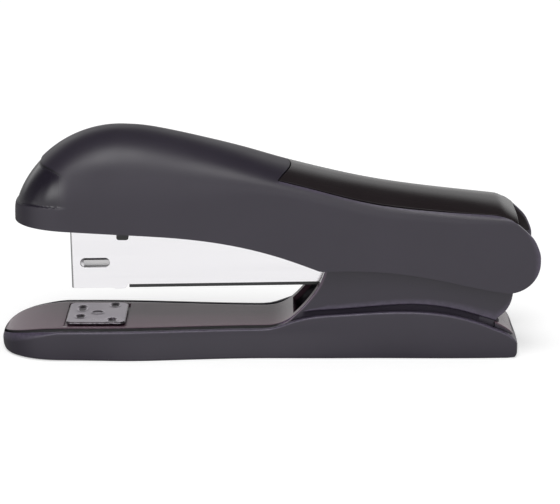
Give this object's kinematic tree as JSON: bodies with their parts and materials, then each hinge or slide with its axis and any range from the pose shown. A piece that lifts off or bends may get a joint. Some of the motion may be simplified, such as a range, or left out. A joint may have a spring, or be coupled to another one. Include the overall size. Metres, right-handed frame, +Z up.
{
  "type": "desktop stapler",
  "caption": "Full-strip desktop stapler: a humped black head and bright staple rail hinged above a low base with a turning anvil plate.",
  "frame": {"origin": "on the surface that the stapler stands on, under the middle of its length and width", "axes": "+X towards the hinge at the rear, +Y across, +Z up; the nose points to -X"},
  "size_m": [0.1487, 0.0344, 0.0633],
  "materials": {
    "black_plastic": "fine satin moulded plastic, near black",
    "grip_plastic": "smooth semi-gloss black grip",
    "bright_steel": "bright nickel-plated sheet steel",
    "dark_steel": "black coated sheet steel",
    "plain_steel": "zinc-plated steel",
    "anvil_steel": "nickel-plated pressed steel",
    "rubber": "soft black rubber",
    "nylon": "natural nylon"
  },
  "bodies": {
    "base": {"base_shell": "black_plastic", "base_cover": "black_plastic", "base_bracket": "dark_steel", "lift_spring": "plain_steel", "hinge_pin": "plain_steel", "hinge_washers": "nylon", "base_screws": "plain_steel", "rubber_feet": "rubber", "anvil_spring": "plain_steel"},
    "magazine": {"magazine_rail": "bright_steel", "rail_carrier": "dark_steel", "staple_core": "plain_steel", "guide_rod": "plain_steel", "hinge_sleeve": "plain_steel", "follower_spring": "plain_steel"},
    "head": {"head_cover": "black_plastic", "top_grip": "grip_plastic", "head_frame": "dark_steel", "frame_screws": "plain_steel", "driver_blade": "plain_steel", "driver_rivets": "plain_steel", "bow_spring": "plain_steel"},
    "follower": {"staple_follower": "black_plastic"},
    "anvil": {"anvil_plate": "anvil_steel", "anvil_post": "plain_steel"}
  },
  "joints": [
    {"name": "magazine_hinge", "type": "hinge", "parent": "base", "child": "magazine", "pos_m": [0.0656, 0, 0.0274], "axis": [0, 1, 0], "range_deg": [-4.2, 60], "stiffness_Nm_per_rad": 1.6, "springref_deg": 2.29, "deforming": ["lift_spring"]},
    {"name": "head_hinge", "type": "hinge", "parent": "magazine", "child": "head", "pos_m": [0.0656, 0, 0.0274], "axis": [0, 1, 0], "range_deg": [-3.8, 100], "stiffness_Nm_per_rad": 1, "springref_deg": 1.72, "deforming": ["bow_spring"]},
    {"name": "follower_slide", "type": "slide", "parent": "magazine", "child": "follower", "axis": [0.9999, 0, 0.0157], "range_m": [0, 0.09], "stiffness_N_per_m": 25, "springref_m": -0.02, "deforming": ["follower_spring"]},
    {"name": "anvil_turn", "type": "hinge", "parent": "base", "child": "anvil", "pos_m": [-0.0479, 0, 0.0085], "axis": [0, 0, 1], "range_deg": [0, 180]}
  ]
}
